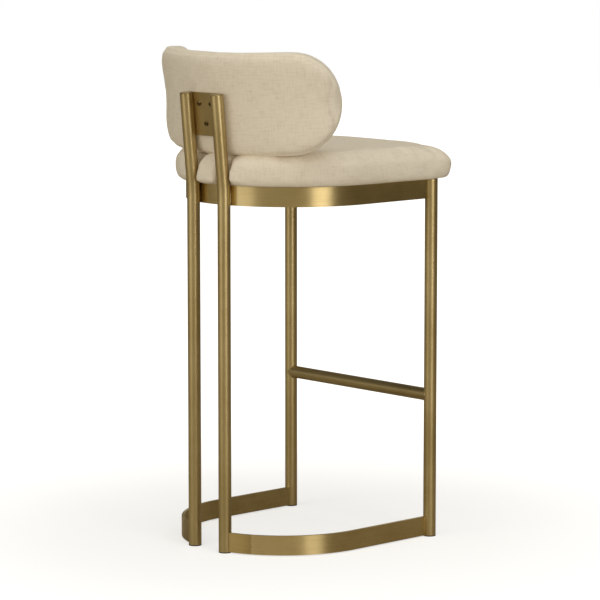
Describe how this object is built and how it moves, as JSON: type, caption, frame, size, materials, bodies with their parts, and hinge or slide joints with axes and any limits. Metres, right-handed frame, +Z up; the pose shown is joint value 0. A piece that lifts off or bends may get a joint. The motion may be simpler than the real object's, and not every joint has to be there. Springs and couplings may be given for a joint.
{
  "type": "bar stool with footrest",
  "caption": "Bar stool with a D-shaped padded seat, a curved pill-shaped back rest and a brushed brass tube and flat bar frame with a footrest.",
  "frame": {"origin": "on the floor, at the middle of the stool's overall width and depth", "axes": "+Z up; the sitter faces -Y, so the back rest and posts are on the +Y side; +X is the sitter's left"},
  "size_m": [0.4884, 0.483, 0.9683],
  "materials": {
    "frame_brass": "satin",
    "back_screw_brass": "satin",
    "linen": "matte",
    "foam": "matte",
    "dust_cloth": "matte",
    "plywood": "matte",
    "glide_nylon": "satin",
    "fastener_steel": "satin"
  },
  "bodies": {
    "root": {"rear_post_left": "frame_brass", "rear_post_right": "frame_brass", "rear_post_caps": "frame_brass", "front_leg_left": "frame_brass", "front_leg_right": "frame_brass", "footrest_bar": "frame_brass", "base_bar_left": "frame_brass", "base_bar_right": "frame_brass", "seat_ring": "frame_brass", "seat_front_rail": "frame_brass", "seat_mounting_tabs": "frame_brass", "back_plate": "frame_brass", "floor_glides": "glide_nylon", "seat_board": "plywood", "seat_foam": "foam", "seat_cover": "linen", "seat_dust_cover": "dust_cloth", "seat_screws": "fastener_steel", "seat_washers": "fastener_steel", "seat_tee_nuts": "fastener_steel", "back_rest_board": "plywood", "back_rest_foam": "foam", "back_rest_cover": "linen", "back_rest_tee_nuts": "fastener_steel", "back_rest_screws": "back_screw_brass"}
  },
  "joints": []
}
